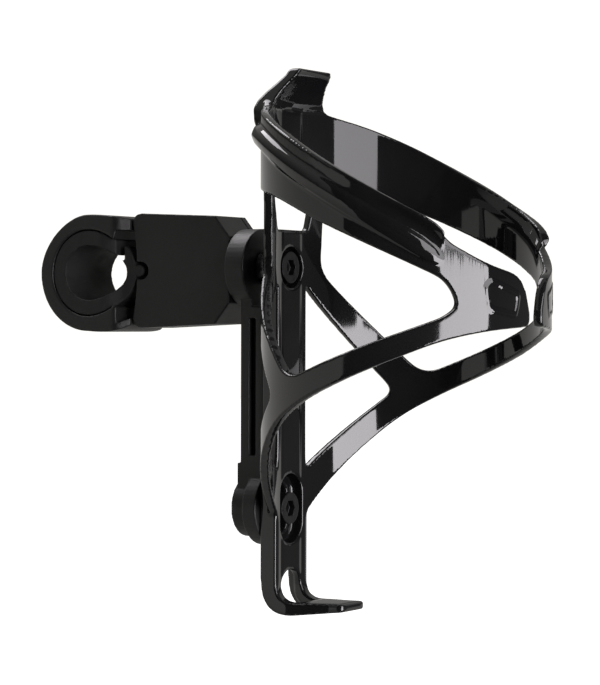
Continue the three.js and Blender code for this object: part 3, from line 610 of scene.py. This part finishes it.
@dataclass
class DrawBand:
    """The band that goes round the tube, its insert, and the bar and nut that the bolt pulls on."""

    band: Moulding = moulding("clamp_band", Body.BAND, Slot.MATT, 0.24 * MM, 6, 0.3)
    insert: Moulding = moulding("rubber_insert", Body.BAND, Slot.RUBBER, 0.24 * MM, 6, 0.3)
    bar: Moulding = moulding("draw_bar", Body.BAND, Slot.BRIGHT_STEEL, 0.16 * MM, 3, 0.3)
    nut: Moulding = moulding("pivot_nut", Body.BAND, Slot.BRIGHT_STEEL, 0.14 * MM, 3, 0.3)

    def build(self, finishes: Finishes) -> None:
        """Builds every piece."""
        for piece in (self.band, self.insert, self.bar, self.nut):
            piece.build(finishes)


@dataclass
class CageBolts:
    """The two low-headed socket bolts."""

    upper: Moulding = moulding("pivot_bolt", Body.PIVOT_SCREW, Slot.BLACK_STEEL, 0.12 * MM, 3, 0.35)
    lower: Moulding = moulding("lower_bolt", Body.LOWER_SCREW, Slot.BLACK_STEEL, 0.12 * MM, 3, 0.35)

    def build(self, finishes: Finishes) -> None:
        """Builds both bolts."""
        self.upper.build(finishes)
        self.lower.build(finishes)


# ---------------------------------------------------------------- studio


@dataclass
class Softbox:
    """A rectangular studio light that stands at an azimuth round the bottle and faces it."""

    name: str
    azimuth: float
    elevation: float
    distance: float
    width: float
    height: float
    power: float
    colour: tuple = (1.0, 0.97, 1.0)

    def build(self, centre: Vector) -> bpy.types.Object:
        """Makes the light.

        Args:
            centre: the point that the light faces.

        Returns:
            The light.
        """
        data = bpy.data.lights.new(self.name, "AREA")
        data.shape = "RECTANGLE"
        data.size, data.size_y = self.width, self.height
        data.energy = self.power
        data.color = self.colour
        light = bpy.data.objects.new(self.name, data)
        bpy.context.scene.collection.objects.link(light)
        turn, rise = math.radians(self.azimuth), math.radians(self.elevation)
        away = Vector((math.cos(turn) * math.cos(rise), math.sin(turn) * math.cos(rise), math.sin(rise)))
        light.location = centre + away * self.distance
        light.rotation_mode = "QUATERNION"
        light.rotation_quaternion = (-away).to_track_quat("-Z", "Y")
        return light


class WorldSheet:
    """The room's node tree, with short ways to add its nodes."""

    def __init__(self, world: bpy.types.World) -> None:
        """Takes a world that uses nodes."""
        self.tree = world.node_tree

    def link(self, source: bpy.types.NodeSocket, target: bpy.types.NodeSocket) -> None:
        """Links an output to an input."""
        self.tree.links.new(source, target)

    def maths(self, operation: str, *values: object) -> bpy.types.NodeSocket:
        """Adds a sum on sockets or plain numbers.

        Args:
            operation: Blender's name for it.
            values: its inputs in order.

        Returns:
            The result's socket.
        """
        node = self.tree.nodes.new("ShaderNodeMath")
        node.operation = operation
        for place, value in zip(node.inputs, values):
            if isinstance(value, bpy.types.NodeSocket):
                self.link(value, place)
            else:
                place.default_value = value
        return node.outputs[0]

    def direction(self) -> tuple:
        """The azimuth looked in, in radians from the +X axis, and its height: the sine of its elevation."""
        parts = self.tree.nodes.new("ShaderNodeSeparateXYZ")
        self.link(self.tree.nodes.new("ShaderNodeTexCoord").outputs["Generated"], parts.inputs[0])
        return self.maths("ARCTAN2", parts.outputs["Y"], parts.outputs["X"]), parts.outputs["Z"]

    def ramp(self, value: bpy.types.NodeSocket, stops: tuple) -> bpy.types.NodeSocket:
        """A broken line through pairs of value and result."""
        curve = self.tree.nodes.new("ShaderNodeFloatCurve")
        points = curve.mapping.curves[0].points
        low, high = stops[0][0], stops[-1][0]
        top = max(result for _, result in stops)
        for place, (at, result) in enumerate(stops):
            where = ((at - low) / (high - low), result / top)
            if 0 < place < len(stops) - 1:
                points.new(*where)
            else:
                points[0 if place == 0 else -1].location = where
        curve.mapping.update()
        share = self.maths("DIVIDE", self.maths("SUBTRACT", value, low), high - low)
        self.link(share, curve.inputs["Value"])
        return self.maths("MULTIPLY", curve.outputs["Value"], top)

    def between(self, value: bpy.types.NodeSocket, low: float, high: float) -> bpy.types.NodeSocket:
        """1 where `low` < value <= `high`, and 0 elsewhere."""
        above = self.maths("GREATER_THAN", value, low)
        beyond = self.maths("GREATER_THAN", value, high)
        return self.maths("SUBTRACT", above, beyond)

    def mixed(self, factor: bpy.types.NodeSocket, first: object, second: object) -> bpy.types.NodeSocket:
        """`first` where the factor is 0 and `second` where it is 1."""
        rest = self.maths("SUBTRACT", 1.0, factor)
        return self.maths("MULTIPLY_ADD", factor, second, self.maths("MULTIPLY", rest, first))

    def seen(self, level: bpy.types.NodeSocket, soft_share: float, backdrop: float) -> bpy.types.NodeSocket:
        """The room's strength: plain backdrop seen directly, `level` in reflections, less as soft light.

        Args:
            level: the strength in each direction.
            soft_share: how much of it lights matt surfaces.
            backdrop: the strength seen directly.

        Returns:
            The strength's socket.
        """
        path = self.tree.nodes.new("ShaderNodeLightPath").outputs
        indirect = self.mixed(path["Is Diffuse Ray"], level, self.maths("MULTIPLY", level, soft_share))
        return self.mixed(path["Is Camera Ray"], indirect, backdrop)


@dataclass
class Studio:
    """The camera, the pale floor, the softboxes and the bright room round them."""

    camera_place: tuple = (0.4152, -0.5653, -0.0139)
    camera_forward: tuple = (-0.52978, 0.84810, -0.00739)
    camera_roll: float = -0.14
    lens: float = 132.1
    floor_drop: float = 0.16
    floor_size: float = 6.0
    backdrop: float = 1.08
    sectors: tuple = ((-180, -110, 0.6), (-110, 6, 0.035), (6, 60, 0.09), (60, 180, 0.6))
    by_height: tuple = (
        (-1, 0.7), (-0.3, 0.8), (-0.08, 1.1), (0.03, 1), (0.07, 0.75),
        (0.1, 0.25), (0.14, 0.15), (0.4, 0.6), (1, 0.6))
    soft_share: float = 1.15
    tint: tuple = (1.0, 0.985, 0.95)
    softboxes: list = field(default_factory=lambda: [
        Softbox("key_softbox", -14, -12.5, 1.3, 0.95, 0.7, 21.5),
        Softbox("upper_key_softbox", -14, 18, 1.3, 0.95, 0.7, 10),
        Softbox("rim_softbox", 172, 56, 1.5, 0.9, 0.9, 14),
    ])

    def camera(self) -> None:
        """Sets the camera."""
        data = bpy.data.cameras.new("camera")
        data.sensor_fit = "AUTO"
        data.sensor_width = 36
        data.lens = self.lens
        data.clip_start, data.clip_end = 0.01, 50
        eye = bpy.data.objects.new("camera", data)
        bpy.context.scene.collection.objects.link(eye)
        eye.location = self.camera_place
        forward = Vector(self.camera_forward).normalized()
        eye.rotation_mode = "QUATERNION"
        roll = Quaternion(forward, math.radians(self.camera_roll))
        eye.rotation_quaternion = roll @ forward.to_track_quat("-Z", "Y")
        bpy.context.scene.camera = eye

    def floor(self, low: Vector) -> None:
        """Lays the floor under the object."""
        work = bmesh.new()
        bmesh.ops.create_grid(work, x_segments=8, y_segments=8, size=self.floor_size)
        mesh = bpy.data.meshes.new("floor")
        work.to_mesh(mesh)
        work.free()
        floor = bpy.data.objects.new("floor", mesh)
        bpy.context.scene.collection.objects.link(floor)
        floor.location.z = low.z - self.floor_drop
        mesh.materials.append(PaleFloor().build())
        floor.visible_glossy = floor.visible_diffuse = False
        floor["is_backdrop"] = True

    def room(self) -> None:
        """Lights the room: a white sweep behind the object, and darker on the camera's side."""
        world = bpy.data.worlds.new("room")
        bpy.context.scene.world = world
        world.use_nodes = True
        sheet = WorldSheet(world)
        background = world.node_tree.nodes["Background"]
        background.inputs["Color"].default_value = (*self.tint, 1)
        azimuth, height = sheet.direction()
        level = None
        for start, end, strength in self.sectors:
            share = sheet.between(azimuth, math.radians(start), math.radians(end))
            level = sheet.maths("MULTIPLY_ADD", share, strength, level or 0.0)
        level = sheet.maths("MULTIPLY", level, sheet.ramp(height, self.by_height))
        sheet.link(sheet.seen(level, self.soft_share, self.backdrop), background.inputs["Strength"])

    def build(self, low: Vector, high: Vector) -> None:
        """Sets up everything that isn't part of the object.

        Args:
            low: the object's lowest corner.
            high: its highest corner.
        """
        self.camera()
        self.floor(low)
        self.room()
        for softbox in self.softboxes:
            softbox.build((low + high) / 2)
        bpy.context.scene.view_settings.view_transform = "Standard"


# ---------------------------------------------------------------- all of it


def main() -> None:
    """Builds the studio and every sub-assembly in order."""
    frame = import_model()
    RECORD.update(frame["record"])
    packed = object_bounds()
    Studio().build(*packed)
    finishes = Finishes()
    for part in (CageAndArm(), ClampBlock(), DrawBand(), CageBolts()):
        part.build(finishes)
        LOG.info("%s done", type(part).__name__)


if __name__ == "__main__":
    logging.basicConfig(level=logging.INFO)
    main()
